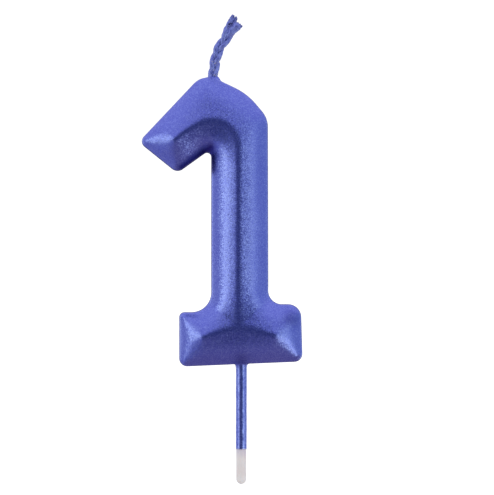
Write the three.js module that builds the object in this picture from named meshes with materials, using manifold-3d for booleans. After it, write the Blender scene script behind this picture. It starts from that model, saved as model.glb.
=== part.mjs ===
// A birthday candle in the shape of the number one, on a round pick.
// Millimetres, +Z up, front face towards -Y. The origin is where the pick's axis leaves the underside of the foot.
// The candle is cast in one pour round a plaited wick and a pick, and is then dipped in lacquer.

import * as THREE from 'three';
import { mergeVertices } from 'three/addons/utils/BufferGeometryUtils.js';
import Module from 'manifold-3d';

const wasm = await Module();
wasm.setup();

// ---- Driving dimensions ----

// The numeral's outline, seen from the front.
const FOOT_LEFT = -15.15;
const FOOT_RIGHT = 14.95;
const FOOT_TOP_LEFT = 12.6;
const FOOT_TOP_RIGHT = 14.55;
const FOOT_DRAFT = 0.4; // how much the foot's right end leans in from bottom to top
const FOOT_SLANT = Math.tan(THREE.MathUtils.degToRad(2.4)); // the underside rises to the right
const STEM_LEFT = -7.3;
const STEM_RIGHT = 6.55;
const SHOULDER_LOW = { x: STEM_RIGHT - 0.1, z: 60.15 };
const SHOULDER_HIGH = { x: 1.4, z: 66.15 };
const APEX = { x: -9.14, z: 71.2 };
const FLAG_TIP = { x: -25.06, z: 54.34 };
const FLAG_HEEL = { x: -15.68, z: 46.8 };
const FLAG_ROOT_Z = 52.8; // where the flag's underside meets the stem
const SMALLEST_ARC = 0.3; // a rounded corner never gets tighter than this
const CORNER_STEPS = 4; // straight pieces in each rounded corner

// The ridge lines of the faces: along the foot, and up the stem into the flag.
const FOOT_RIDGE = [
  [-9.1, 6.8],
  [-5, 8.2],
  [-0.7, 9.2],
  [4, 8.4],
  [8, 7.2],
];
const STEM_RIDGE = [
  [-0.7, 9.2],
  [-0.7, 22],
  [-0.7, 35],
  [-0.7, 48],
  [-0.8, 53.6],
  [-1.9, 56.9],
  [-4.5, 59],
  [-8.2, 59.5],
  [-12.6, 57.4],
  [-16, 54.9],
];

// The cross-section, from the rim to the ridge: three arcs that run into one another.
const RIM_HALF = 1.0; // half the width of the flat rim
const RIM_RADIUS = 1.5; // rim to face
const OUTER_SLOPE = THREE.MathUtils.degToRad(54); // where the face leaves the rim
const INNER_SLOPE = THREE.MathUtils.degToRad(19); // where the face meets the ridge
const RIDGE_RADIUS = 3.0; // face to ridge
const RIDGE_INSET = 6.6; // from the stem's outline to the middle of the ridge
const CROWN_INSET = 5.9; // from the stem's outline to the small flat that crowns the ridge here
const EVEN_INSET = 0.5; // down to here the surface follows the outline, and beyond it leans to the ridge
const RIM_STEPS = 2;
const FACE_STEPS = 4;
const RIDGE_STEPS = 1;
const REACH_HALVINGS = 40; // steps of the search in reach()

// The lacquer, and the room between pieces that touch.
const COAT = 0.2;
const COAT_ON_PICK = 0.09;
const GAP = 0.06;
const COAT_END_Z = -20.9; // the lacquer stops here, above the pick's bare end

// The pick.
const PICK_RADIUS = 1.2;
const PICK_TOP_Z = 17;
const PICK_TIP_Z = -29.4;
const PICK_SIDES = 24;
const TIP_STEPS = 4;
const GROOVE_DEPTH = 0.28;
const GROOVE_HALF = 0.6;
const GROOVE_FIRST_Z = 5;
const GROOVE_PITCH = 3.6;
const GROOVES = 3;
const FILLET_RADIUS = 2.1; // the lacquer's fillet round the pick, at the underside
const FILLET_DROP = 0.9;

// The wick: a flat three-strand plait along one route.
const WICK_ROUTE = [
  [-0.4, 24],
  [-0.4, 44],
  [-2.2, 57],
  [-5.6, 65],
  [-6.8, 70.2],
  [-6.5, 73.6],
  [-5.6, 76.9],
  [-3.8, 79.8],
  [-2.2, 82.2],
];
const PLIES = 3;
const PLY_RADIUS = 0.32;
const PLAIT_WIDE = 0.68; // how far a strand swings sideways
const PLAIT_DEEP = 0.47; // how far it swings front to back
const PLAIT_PITCH = 7.2;
const PLY_SIDES = 6;
const PLY_START = 1.2; // the strands start this far up the route
const PLY_STEPS = 84;
const FRAY_LENGTH = 3.2; // the strands part over this length at the tip
const FRAY_ENDS = [
  [-0.8, 0.3, 0.7],
  [-1.3, 0.3, 2.9],
  [1.0, -0.2, 1.6],
];
const CHANNEL_CLEARANCE = 0.2;
const CHANNEL_SIDES = 12;
const CHANNEL_STEPS = 28;
const COLLAR_LOW_RADIUS = 2.3; // the lacquer's cone round the wick
const COLLAR_TOP_RADIUS = 1.42;
const COLLAR_LOW_Z = 67.5;
const COLLAR_TOP_Z = 71;

// ---- The numeral ----

/**
 * The corners of the numeral, anticlockwise from the lower left. r rounds a corner. ridge holds the places on the
 * ridge's tour that face its first and last point.
 */
function corners() {
  return [
    { x: FOOT_LEFT, z: FOOT_LEFT * FOOT_SLANT, r: 1.9, ridge: [0, 0] },
    { x: FOOT_RIGHT, z: FOOT_RIGHT * FOOT_SLANT, r: 1.9, ridge: [4, 4] },
    { x: FOOT_RIGHT - FOOT_DRAFT, z: FOOT_TOP_RIGHT, r: 3.2, ridge: [4, 4] },
    { x: STEM_RIGHT, z: FOOT_TOP_RIGHT, r: 3.4, ridge: [5.2, 6.3] },
    { ...SHOULDER_LOW, r: 6, ridge: [10.4, 11.1] },
    { ...SHOULDER_HIGH, r: 16, ridge: [11.5, 12.3] },
    { ...APEX, r: 4.9, ridge: [12.6, 13.4] },
    { ...FLAG_TIP, r: 1.6, ridge: [14.8, 15] },
    { ...FLAG_HEEL, r: 2.1, ridge: [15, 15.2] },
    { x: STEM_LEFT, z: FLAG_ROOT_Z, r: 1.1, ridge: [16.6, 20.2] },
    { x: STEM_LEFT, z: FOOT_TOP_LEFT, r: 4.9, ridge: [23.8, 24.9] },
    { x: FOOT_LEFT, z: FOOT_TOP_LEFT, r: 1.2, ridge: [26, 26] },
  ];
}

/** The ridge lines as one round trip, anticlockwise from the foot's left end and back to it. */
function ridgeTour() {
  const footBack = FOOT_RIDGE.slice(3, 4);
  const stemBack = [...STEM_RIDGE].reverse().slice(1);
  const footHome = [FOOT_RIDGE[1], FOOT_RIDGE[0]];
  return [...FOOT_RIDGE, ...footBack, ...STEM_RIDGE, ...stemBack, ...footHome];
}

/** The point of the ridge's tour at a place between its listed points. */
function ridgePoint(place) {
  const tour = ridgeTour();
  const from = Math.min(Math.floor(place), tour.length - 2);
  return new THREE.Vector2(...tour[from]).lerp(new THREE.Vector2(...tour[from + 1]), place - from);
}

/** One corner of the outline moved inwards by inset, as the points of its arc. */
function roundedCorner(before, corner, after, inset) {
  const here = new THREE.Vector2(corner.x, corner.z);
  const along = here.clone().sub(new THREE.Vector2(before.x, before.z)).normalize();
  const onward = new THREE.Vector2(after.x, after.z).sub(here).normalize();
  const inward = new THREE.Vector2(-along.y, along.x);
  const turn = Math.atan2(along.cross(onward), along.dot(onward));
  const side = Math.sign(turn);
  const radius = Math.max(corner.r - side * inset, SMALLEST_ARC);
  const centre = here.addScaledVector(inward, inset + side * radius);
  centre.addScaledVector(along, -(inset + side * radius) * Math.tan(turn / 2));
  const points = [];
  for (let i = 0; i <= CORNER_STEPS; i += 1) {
    const arm = inward.clone().multiplyScalar(-side * radius);
    arm.rotateAround(new THREE.Vector2(), (turn * i) / CORNER_STEPS);
    points.push(arm.add(centre));
  }
  return points;
}

/** The outline moved inwards by inset: its points, each with the place on the ridge's tour that it faces. */
function evenRing(inset) {
  const list = corners();
  const trip = ridgeTour().length - 1;
  const arcs = list.map((corner, i) => {
    const before = list[(i + list.length - 1) % list.length];
    return roundedCorner(before, corner, list[(i + 1) % list.length], inset);
  });
  return list.flatMap((corner, i) => {
    const next = (i + 1) % list.length;
    const [first, last] = corner.ridge;
    const points = arcs[i].map((point, k) => {
      return { point, place: THREE.MathUtils.lerp(first, last, k / CORNER_STEPS) };
    });
    const span = (list[next].ridge[0] - last + trip) % trip;
    const pieces = Math.ceil(span);
    for (let k = 1; k < pieces; k += 1) {
      const point = arcs[i][CORNER_STEPS].clone().lerp(arcs[next][0], k / pieces);
      points.push({ point, place: last + (span * k) / pieces });
    }
    return points;
  });
}

/** How far in from the outline the surface reaches a given inset, where the way to the ridge is total long. */
function reach(inset, total) {
  let low = 0;
  let high = total;
  for (let i = 0; i < REACH_HALVINGS; i += 1) {
    const middle = (low + high) / 2;
    const lean = (RIDGE_INSET / total - 1) * Math.sqrt(middle / total);
    if (middle * (1 + lean) < inset) {
      low = middle;
    } else {
      high = middle;
    }
  }
  return high;
}

/** The points of the surface at an inset. Wider parts of the numeral reach the same inset further in. */
function ring(inset) {
  if (inset <= EVEN_INSET) {
    return evenRing(inset).map(({ point }) => point);
  }
  return evenRing(EVEN_INSET).map(({ point, place }) => {
    const target = ridgePoint(place);
    const total = EVEN_INSET + point.distanceTo(target);
    return point.clone().lerp(target, (reach(inset, total) - EVEN_INSET) / (total - EVEN_INSET));
  });
}

/** The section from rim to ridge, as insets and half thicknesses, for a surface depth below the outside. */
function section(depth) {
  const [outer, inner] = [OUTER_SLOPE, INNER_SLOPE];
  const run = RIDGE_INSET - RIM_RADIUS + RIM_RADIUS * Math.sin(outer) - RIDGE_RADIUS * Math.sin(inner);
  const faceRadius = run / (Math.sin(outer) - Math.sin(inner));
  const crown = Math.asin((RIDGE_INSET - CROWN_INSET) / RIDGE_RADIUS);
  const rows = [];
  let centre = new THREE.Vector2(RIM_RADIUS, RIM_HALF);
  const addArc = (radius, from, to, first, steps) => {
    for (let i = first; i <= steps; i += 1) {
      const slope = THREE.MathUtils.lerp(from, to, i / steps);
      const arm = radius - depth;
      rows.push([centre.x - arm * Math.sin(slope), centre.y + arm * Math.cos(slope)]);
    }
  };
  const moveCentre = (slope, by) => {
    centre = new THREE.Vector2(centre.x + by * Math.sin(slope), centre.y - by * Math.cos(slope));
  };
  addArc(RIM_RADIUS, Math.PI / 2, outer, 0, RIM_STEPS);
  moveCentre(outer, faceRadius - RIM_RADIUS);
  addArc(faceRadius, outer, inner, 1, FACE_STEPS);
  moveCentre(inner, RIDGE_RADIUS - faceRadius);
  addArc(RIDGE_RADIUS, inner, crown, 1, RIDGE_STEPS);
  return rows;
}

/** The numeral as a closed mesh whose whole surface lies depth below the outside. */
function numeral(depth) {
  const rows = section(depth);
  const positions = [];
  const triangles = [];
  const rings = [];
  const addRing = (points, y) => {
    rings.push(positions.length / 3);
    points.forEach((p) => positions.push(p.x, y, p.y));
  };
  [...rows].reverse().forEach(([inset, half]) => addRing(ring(inset), -half));
  rows.forEach(([inset, half]) => addRing(ring(inset), half));
  const count = ring(depth).length;
  for (let k = 0; k + 1 < rings.length; k += 1) {
    for (let i = 0; i < count; i += 1) {
      const next = (i + 1) % count;
      const [a, b] = [rings[k] + i, rings[k] + next];
      const [c, d] = [rings[k + 1] + next, rings[k + 1] + i];
      triangles.push(a, c, b, a, d, c);
    }
  }
  const crown = ring(rows[rows.length - 1][0]);
  const back = rings[rings.length - 1];
  THREE.ShapeUtils.triangulateShape(crown, []).forEach(([a, b, c]) => {
    triangles.push(a, b, c);
    triangles.push(back + a, back + c, back + b);
  });
  const geometry = new THREE.BufferGeometry();
  geometry.setAttribute('position', new THREE.Float32BufferAttribute(positions, 3));
  geometry.setIndex(triangles);
  return geometry;
}

// ---- Booleans ----

/** A closed geometry as a manifold-3d solid. */
function solid(geometry) {
  const bare = geometry.clone();
  bare.deleteAttribute('normal');
  bare.deleteAttribute('uv');
  const merged = mergeVertices(bare, 1e-4);
  return new wasm.Manifold(new wasm.Mesh({
    numProp: 3,
    vertProperties: new Float32Array(merged.attributes.position.array),
    triVerts: new Uint32Array(merged.index.array),
  }));
}

/** A manifold-3d solid as a geometry. */
function geometryOf(manifold) {
  const mesh = manifold.getMesh();
  const geometry = new THREE.BufferGeometry();
  geometry.setAttribute('position', new THREE.BufferAttribute(mesh.vertProperties, 3));
  geometry.setIndex(new THREE.BufferAttribute(mesh.triVerts, 1));
  return geometry;
}

// ---- The pick ----

/** A profile of [radius, z] turned about the Z axis. Both ends lie on the axis, and z rises. */
function turned(profile) {
  const geometry = new THREE.LatheGeometry(profile.map(([r, z]) => new THREE.Vector2(r, z)), PICK_SIDES);
  return geometry.rotateX(Math.PI / 2);
}

/** The pick's outline from its rounded tip to its cast-in head, grown by extra. */
function pickProfile(extra) {
  const radius = PICK_RADIUS + extra;
  const profile = [];
  for (let i = 0; i <= TIP_STEPS; i += 1) {
    const angle = (Math.PI / 2) * (i / TIP_STEPS);
    profile.push([radius * Math.sin(angle), PICK_TIP_Z + PICK_RADIUS - radius * Math.cos(angle)]);
  }
  for (let i = 0; i < GROOVES; i += 1) {
    const z = GROOVE_FIRST_Z + GROOVE_PITCH * i;
    profile.push([radius, z - GROOVE_HALF]);
    profile.push([radius - GROOVE_DEPTH, z - GROOVE_HALF / 3]);
    profile.push([radius - GROOVE_DEPTH, z + GROOVE_HALF / 3]);
    profile.push([radius, z + GROOVE_HALF]);
  }
  profile.push([radius, PICK_TOP_Z + extra]);
  profile.push([0, PICK_TOP_Z + extra]);
  profile[0][0] = 0;
  return profile;
}

// ---- The wick ----

const route = new THREE.CatmullRomCurve3(WICK_ROUTE.map(([x, z]) => new THREE.Vector3(x, 0, z)));

/** One strand of the plait, which parts from the others towards the tip. */
class Ply extends THREE.Curve {
  constructor(index) {
    super();
    this.index = index;
  }

  getPoint(t) {
    const length = route.getLength();
    const along = THREE.MathUtils.lerp(PLY_START, length, t);
    const tangent = route.getTangentAt(along / length);
    const across = new THREE.Vector3(tangent.z, 0, -tangent.x);
    const phase = 2 * Math.PI * (along / PLAIT_PITCH + this.index / PLIES);
    const point = route.getPointAt(along / length);
    point.addScaledVector(across, PLAIT_WIDE * Math.cos(phase));
    point.y += PLAIT_DEEP * Math.sin(2 * phase);
    const frayed = THREE.MathUtils.clamp((along - length + FRAY_LENGTH) / FRAY_LENGTH, 0, 1) ** 2;
    const [right, back, on] = FRAY_ENDS[this.index];
    point.addScaledVector(across, right * frayed).addScaledVector(tangent, on * frayed);
    point.y += back * frayed;
    return point;
  }
}

/** A round or oval section. Its first radius lies front to back and its second across the wick. */
function oval(deep, wide, sides) {
  const points = [];
  for (let i = 0; i < sides; i += 1) {
    const angle = (2 * Math.PI * i) / sides;
    points.push(new THREE.Vector2(deep * Math.cos(angle), wide * Math.sin(angle)));
  }
  return new THREE.Shape(points);
}

/** A section swept along a curve, closed at both ends. */
function swept(shape, curve, steps) {
  return new THREE.ExtrudeGeometry(shape, { steps, bevelEnabled: false, extrudePath: curve });
}

/** The room that the plait takes up in the wax, a little larger than the strands. */
function wickChannel() {
  const deep = PLAIT_DEEP + PLY_RADIUS + CHANNEL_CLEARANCE;
  const wide = PLAIT_WIDE + PLY_RADIUS + CHANNEL_CLEARANCE;
  return swept(oval(deep, wide, CHANNEL_SIDES), route, CHANNEL_STEPS);
}

// ---- The lacquer ----

/** The lacquer's sleeve on the pick, with the fillet where it meets the underside. */
function pickSleeve() {
  const outer = PICK_RADIUS + GAP + COAT_ON_PICK;
  return turned([
    [0, COAT_END_Z],
    [outer, COAT_END_Z],
    [outer, -FILLET_DROP],
    [THREE.MathUtils.lerp(outer, FILLET_RADIUS, 0.3), -FILLET_DROP / 3],
    [FILLET_RADIUS, 0.2],
    [FILLET_RADIUS, RIM_RADIUS],
    [0, RIM_RADIUS],
  ]);
}

/** The lacquer's cone round the foot of the free wick. */
function wickCollar() {
  const height = COLLAR_TOP_Z - COLLAR_LOW_Z;
  const cone = new THREE.CylinderGeometry(COLLAR_TOP_RADIUS, COLLAR_LOW_RADIUS, height, PICK_SIDES);
  cone.rotateX(Math.PI / 2);
  const [x] = WICK_ROUTE[4];
  return cone.translate(x, 0, COLLAR_LOW_Z + height / 2);
}

function lacquerCoat() {
  const outside = solid(numeral(0)).add(solid(pickSleeve())).add(solid(wickCollar()));
  const bore = solid(turned(pickProfile(GAP)));
  return outside.subtract(solid(numeral(COAT))).subtract(bore).subtract(solid(wickChannel()));
}

function waxCore() {
  const socket = solid(turned(pickProfile(GAP)));
  return solid(numeral(COAT + GAP)).subtract(socket).subtract(solid(wickChannel()));
}

// ---- Assembly ----

const lacquer = { color: 0x4750ad, roughness: 0.35, metalness: 0.7 };
const cotton = { color: 0x3b4290, roughness: 0.8, metalness: 0.1 };
const wax = { color: 0xf0ece2, roughness: 0.5, metalness: 0 };
const plastic = { color: 0xe9e7e4, roughness: 0.4, metalness: 0 };

const candle = new THREE.Group();

function addPiece(name, geometry, look) {
  geometry.computeVertexNormals();
  const mesh = new THREE.Mesh(geometry, new THREE.MeshStandardMaterial(look));
  mesh.name = name;
  candle.add(mesh);
}

addPiece('wax_core', geometryOf(waxCore()), wax);
addPiece('lacquer_coat', geometryOf(lacquerCoat()), lacquer);
addPiece('pick', turned(pickProfile(0)), plastic);
for (let i = 0; i < PLIES; i += 1) {
  const strand = swept(oval(PLY_RADIUS, PLY_RADIUS, PLY_SIDES), new Ply(i), PLY_STEPS);
  addPiece(`wick_ply_${i + 1}`, strand, cotton);
}

export default candle;
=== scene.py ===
"""A birthday candle shaped like the digit one: its lacquered wax, its plaited wick and its pick.

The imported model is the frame. Everything is in metres, +Z up, with the front towards -Y.
"""

import math

import bmesh
import bpy
import numpy as np
from bpy.props import FloatProperty, FloatVectorProperty, IntProperty, PointerProperty
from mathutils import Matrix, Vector, noise
from mathutils.geometry import delaunay_2d_cdt


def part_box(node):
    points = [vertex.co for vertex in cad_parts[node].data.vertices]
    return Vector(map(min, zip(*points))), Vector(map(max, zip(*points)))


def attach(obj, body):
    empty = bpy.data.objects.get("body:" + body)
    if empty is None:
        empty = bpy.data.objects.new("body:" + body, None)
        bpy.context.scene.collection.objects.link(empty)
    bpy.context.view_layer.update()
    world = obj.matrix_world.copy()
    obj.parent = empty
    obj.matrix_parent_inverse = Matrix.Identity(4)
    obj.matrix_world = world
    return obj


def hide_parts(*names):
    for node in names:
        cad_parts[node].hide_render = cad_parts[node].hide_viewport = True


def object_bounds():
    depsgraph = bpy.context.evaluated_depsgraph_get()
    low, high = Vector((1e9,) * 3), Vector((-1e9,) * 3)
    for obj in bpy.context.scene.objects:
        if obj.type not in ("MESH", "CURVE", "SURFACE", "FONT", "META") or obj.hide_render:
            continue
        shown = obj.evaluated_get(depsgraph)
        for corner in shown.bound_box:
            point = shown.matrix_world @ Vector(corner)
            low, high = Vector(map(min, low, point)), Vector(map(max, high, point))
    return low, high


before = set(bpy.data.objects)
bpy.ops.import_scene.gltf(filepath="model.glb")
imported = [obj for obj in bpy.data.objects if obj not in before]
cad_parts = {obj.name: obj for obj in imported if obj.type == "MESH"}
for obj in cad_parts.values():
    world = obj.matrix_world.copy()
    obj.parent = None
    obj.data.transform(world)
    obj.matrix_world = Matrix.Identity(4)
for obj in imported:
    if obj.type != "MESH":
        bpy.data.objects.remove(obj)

bl_info = {
    "name": "Number Candle",
    "version": (1, 0, 0),
    "blender": (4, 5, 0),
    "location": "3D View > Sidebar > Candle",
    "description": "Builds a lacquered number candle on a pick round its packed frame",
    "category": "Add Mesh",
}

MM = 0.001
LENGTH = {"unit": "LENGTH", "subtype": "DISTANCE", "precision": 6}
COLOUR = {"subtype": "COLOR", "size": 3, "min": 0, "max": 1}
CAD_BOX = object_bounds()

COAT_LOW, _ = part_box("lacquer_coat")
PICK_LOW, PICK_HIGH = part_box("pick")
PICK_RADIUS = (PICK_HIGH.x - PICK_LOW.x) / 2
FOOT_SLANT = math.tan(math.radians(2.4))

# The digit's corners seen from the front, anticlockwise from the lower left. x, z and rounding, in
# millimetres.
CORNERS = (
    (-15.15, -15.15 * FOOT_SLANT, 1.9),
    (14.95, 14.95 * FOOT_SLANT, 1.9),
    (14.55, 14.55, 3.2),
    (6.55, 14.55, 3.4),
    (6.45, 60.15, 6.0),
    (1.4, 66.15, 16.0),
    (-9.14, 71.2, 4.9),
    (-25.06, 54.34, 1.6),
    (-15.68, 46.8, 2.1),
    (-7.3, 52.8, 1.1),
    (-7.3, 12.6, 4.9),
    (-15.15, 12.6, 1.2),
)

# The ridge lines of the faces: down the flag and the stem, and along the foot. x and z, in millimetres.
RIDGE_LINES = (
    ((-16.0, 54.9), (-12.6, 57.4), (-8.2, 59.5), (-4.5, 59.0),
     (-1.9, 56.9), (-0.8, 53.6), (-0.7, 48.0), (-0.7, 9.2)),
    ((-9.1, 6.8), (-5.0, 8.2), (-0.7, 9.2), (4.0, 8.4), (8.0, 7.2)),
)

# Painted shade: a darker blue painted along a line under the flag and down into the inner corner, where the
# faces shade each other. x and z, in millimetres. Its share on the line is the full value below, capped at 1,
# and falls by 1 over each reach below.
SHADE_PAINT_LINE = ((-14.2, 47.9), (-7.4, 52.7), (-7.3, 47.6))
SHADE_PAINT_FULL = 1.25
SHADE_PAINT_REACH = 1.9

# Smaller patches of painted shade, in the hollow of the foot's right shoulder and above the pick: x, z and
# reach in millimetres, and a share.
SHADE_PAINT_SPOTS = ((12.2, 11.0, 1.9, 0.60), (0.0, 1.2, 1.8, 0.45))

# The wick's route in the plane y = 0, from inside the stem to its tip, in millimetres.
WICK_ROUTE = (
    (-0.4, 24.0), (-0.4, 44.0), (-2.2, 57.0), (-5.6, 65.0), (-6.8, 70.2),
    (-6.5, 73.6), (-5.6, 76.9), (-3.8, 79.8), (-2.2, 82.2),
)
WICK_EXIT = Vector((-6.8, 0.0, 70.1)) * MM  # where the wick leaves the lacquer

# Where the tip of each strand lies (x, y, z) and its radius there, in millimetres.
FRAY_ENDS = (
    (-2.72, -0.25, 83.05, 1.04),
    (-1.70, 0.20, 84.95, 1.0),
    (-0.80, -0.15, 83.35, 1.26),
)

# The lacquer's collar round the wick: radius, and height above the wick's exit, in millimetres.
COLLAR_PROFILE = (
    (0.0, -2.6), (1.8, -2.6), (2.5, -1.5), (2.05, -0.95), (1.74, -0.55), (1.55, -0.2),
    (1.46, 0.08), (1.36, 0.26), (1.12, 0.34), (0.8, 0.26), (0.0, 0.1),
)

# The ring grooves in the pick's cast-in head.
GROOVES = 3
GROOVE_FIRST = 5  # the height of the lowest one and the steps between them, in millimetres
GROOVE_PITCH = 3.6
GROOVE_DEPTH = 0.28 * MM
GROOVE_HALF = 0.6 * MM
GROOVE_FLOOR = 0.2 * MM

# The rounded edge, the flat rim, and the slow waves that casting leaves on the faces.
RIM_RINGS = 7
RIM_SHARES = (-0.75, -0.3, -0.12, 0.0, 0.12, 0.3, 0.75)  # across the flat rim, as shares of its half width
RIM_BULGE = 0.03 * MM
SEAM_HALF = 0.3  # half the seam's width, as a share of the rim's half width
WAVE_LONG = 8 * MM
WAVE_SHORT = 3 * MM

# The dark blue of the painted shade on the lacquer.
SHADE_PAINT_BLUE = (0.012, 0.014, 0.20)
# The dark blue of the painted shade between the wick's strands and yarns.
CREVICE_SHADE_BLUE = (0.010, 0.010, 0.075)
PICK_STAIN = (0.62, 0.58, 0.80)

# The colours of the tent that the lacquer reflects, and the light that matt surfaces get from it.
TENT_LEFT = (0.43, 0.42, 0.75)
TENT_RIGHT = (0.43, 0.505, 0.84)
TENT_TOP = (0.72, 0.69, 1.10)
TENT_FRONT = (0.003, 0.014, 0.125)
TENT_BELOW = (0.275, 0.20, 0.38)
TENT_BELOW_WAY = (-0.34, 0, 0.94)
TENT_MATT = (0.55, 0.54, 0.56)
FRONT_LEAN = -0.17  # below 0, the tent's dark front and back reach lower than they reach up
WHITE = (1, 1, 1, 1)
WHITE_STRENGTH = 1.1

# The softboxes: place from the candle's middle with y counted towards the lit face, size and colour.
SOFTBOXES = (
    ("left", (-0.415, 0.27, 0.05), (0.18, 0.36), (1.0, 1.05, 0.77)),
    ("right", (0.37, 0.34, -0.01), (0.14, 0.34), (1.0, 1.05, 0.77)),
    ("low", (0.34, 0.27, -0.22), (0.24, 0.24), (0.98, 1.02, 0.88)),
)
BACK_SHARE = 0.6  # power of the softboxes behind the candle, as a share of those in front


# ---- Settings ----


class DigitSettings(bpy.types.PropertyGroup):
    """Sizes of the digit's section and of the mesh that carries it."""

    rim_half: FloatProperty(
        name="Rim half width", description="Half the width of the flat rim", default=1.0 * MM, **LENGTH)
    rim_radius: FloatProperty(
        name="Rim rounding", description="Rounding from the rim to the sloping face", default=1.5 * MM,
        **LENGTH)
    outer_slope: FloatProperty(
        name="Outer slope", description="Slope of the face where it leaves the rim",
        default=math.radians(54), unit="ROTATION", subtype="ANGLE")
    inner_slope: FloatProperty(
        name="Inner slope", description="Slope of the face where it meets the ridge",
        default=math.radians(19), unit="ROTATION", subtype="ANGLE")
    ridge_radius: FloatProperty(
        name="Ridge rounding", description="Rounding from the face to the ridge", default=4.1 * MM,
        **LENGTH)
    ridge_inset: FloatProperty(
        name="Ridge inset", description="How far the ridge lies from the outline", default=6.6 * MM,
        **LENGTH)
    softness: FloatProperty(
        name="Hip softness", description="Lower values round the hips and valleys more",
        default=2.7, min=2.3, max=20)
    mesh_step: FloatProperty(
        name="Mesh step", description="Distance between the points of the faces", default=0.38 * MM,
        **LENGTH)
    waviness: FloatProperty(
        name="Waviness", description="Height of the slow waves that casting leaves", default=0.035 * MM,
        **LENGTH)
    skin: FloatProperty(
        name="Skin", description="How far the wax lies below the lacquer's outside", default=0.3 * MM,
        **LENGTH)
    seam: FloatProperty(
        name="Seam", description="Height of the mould seam round the rim", default=0.05 * MM, **LENGTH)


class WickSettings(bpy.types.PropertyGroup):
    """Sizes of the plait."""

    strand_radius: FloatProperty(
        name="Strand radius", description="Radius of one strand", default=0.64 * MM, **LENGTH)
    swing_wide: FloatProperty(
        name="Sideways swing", description="How far a strand swings sideways", default=0.76 * MM, **LENGTH)
    swing_deep: FloatProperty(
        name="Depth swing", description="How far a strand swings front to back", default=0.42 * MM,
        **LENGTH)
    pitch: FloatProperty(
        name="Pitch", description="Length of one full turn of the plait", default=11.4 * MM, **LENGTH)
    yarns: IntProperty(name="Yarns", description="Yarns twisted into one strand", default=4, min=3, max=9)
    twist_pitch: FloatProperty(
        name="Yarn twist", description="Length of one turn of the yarns in a strand", default=5.2 * MM,
        **LENGTH)
    fray_length: FloatProperty(
        name="Frayed length", description="Length over which the strands part", default=3.2 * MM, **LENGTH)


class PickSettings(bpy.types.PropertyGroup):
    """Sizes of the pick and of the lacquer on it."""

    lacquer: FloatProperty(
        name="Lacquer thickness", description="Lacquer on the pick", default=0.15 * MM, **LENGTH)
    fillet: FloatProperty(
        name="Fillet", description="Size of the lacquer's fillet where the pick enters the foot",
        default=0.95 * MM, **LENGTH)
    sides: IntProperty(name="Sides", description="Points round the pick", default=56, min=24, max=96)


class FinishSettings(bpy.types.PropertyGroup):
    """Colours of the finishes."""

    lacquer: FloatVectorProperty(
        name="Lacquer", description="Colour of the metallic lacquer",
        default=(0.150, 0.188, 0.560), **COLOUR)
    lacquer_light: FloatVectorProperty(
        name="Lacquer flakes", description="Colour of its brighter flakes",
        default=(0.26, 0.33, 0.69), **COLOUR)
    cotton: FloatVectorProperty(
        name="Bare cotton", description="Colour of the cotton where the lacquer missed it",
        default=(0.62, 0.60, 0.56), **COLOUR)
    pick: FloatVectorProperty(
        name="Pick", description="Colour of the pick's bare end",
        default=(0.93, 0.86, 0.83), **COLOUR)
    wax: FloatVectorProperty(
        name="Wax", description="Colour of the wax under the lacquer",
        default=(0.80, 0.77, 0.70), **COLOUR)
    flake: FloatProperty(
        name="Flake size", description="Width of one flake of the lacquer", default=0.22 * MM, **LENGTH)


class StageSettings(bpy.types.PropertyGroup):
    """The camera and the lights."""

    lens: FloatProperty(
        name="Lens", description="Focal length, in millimetres", default=180, min=50, max=300, unit="CAMERA")
    view_height: FloatProperty(
        name="View height", description="Height of the view at the candle", default=121.3 * MM, **LENGTH)
    view_x: FloatProperty(
        name="View centre", description="Where the view is centred, sideways", default=1.4 * MM, **LENGTH)
    view_z: FloatProperty(
        name="View centre height", description="Height at which the view is centred", default=28.5 * MM,
        **LENGTH)
    left_light: FloatProperty(
        name="Left light", description="Power of the softboxes on the left",
        default=0.36, min=0, unit="POWER")
    right_light: FloatProperty(
        name="Right light", description="Power of the softboxes on the right",
        default=0.105, min=0, unit="POWER")
    low_light: FloatProperty(
        name="Low light", description="Power of the softboxes low on the right",
        default=0.26, min=0, unit="POWER")


# ---- The outline and the depth below it ----


def turned(way, angle):
    """A direction in the plane of the faces, turned by an angle."""
    return Vector((way.x * math.cos(angle) - way.y * math.sin(angle),
                   way.x * math.sin(angle) + way.y * math.cos(angle)))


def outline(step):
    """The digit's outline as points and inward normals, in metres, with arcs at its corners."""
    points, normals, arcs = [], [], []
    count = len(CORNERS)
    for i, (x, z, radius) in enumerate(CORNERS):
        here = Vector((x, z)) * MM
        before = Vector(CORNERS[i - 1][:2]) * MM
        after = Vector(CORNERS[(i + 1) % count][:2]) * MM
        along = (here - before).normalized()
        onward = (after - here).normalized()
        turn = math.atan2(along.x * onward.y - along.y * onward.x, along.dot(onward))
        side = math.copysign(1, turn)
        inward = Vector((-along.y, along.x))
        reach = radius * MM * math.tan(abs(turn) / 2)
        centre = here - along * reach + inward * side * radius * MM
        arcs.append((here - along * reach, inward, centre, side * radius * MM, turn))
    for i, (_, inward, centre, signed, turn) in enumerate(arcs):
        pieces = max(4, round(abs(signed * turn) / step))
        for j in range(pieces):
            normal = turned(inward, turn * j / pieces)
            points.append(centre - normal * signed)
            normals.append(normal)
        normal = turned(inward, turn)
        leave = centre - normal * signed
        arrive = arcs[(i + 1) % count][0]
        pieces = max(1, round((arrive - leave).length / step))
        for j in range(pieces):
            points.append(leave.lerp(arrive, j / pieces))
            normals.append(normal)
    return np.array([tuple(p) for p in points]), np.array([tuple(n) for n in normals])


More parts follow.
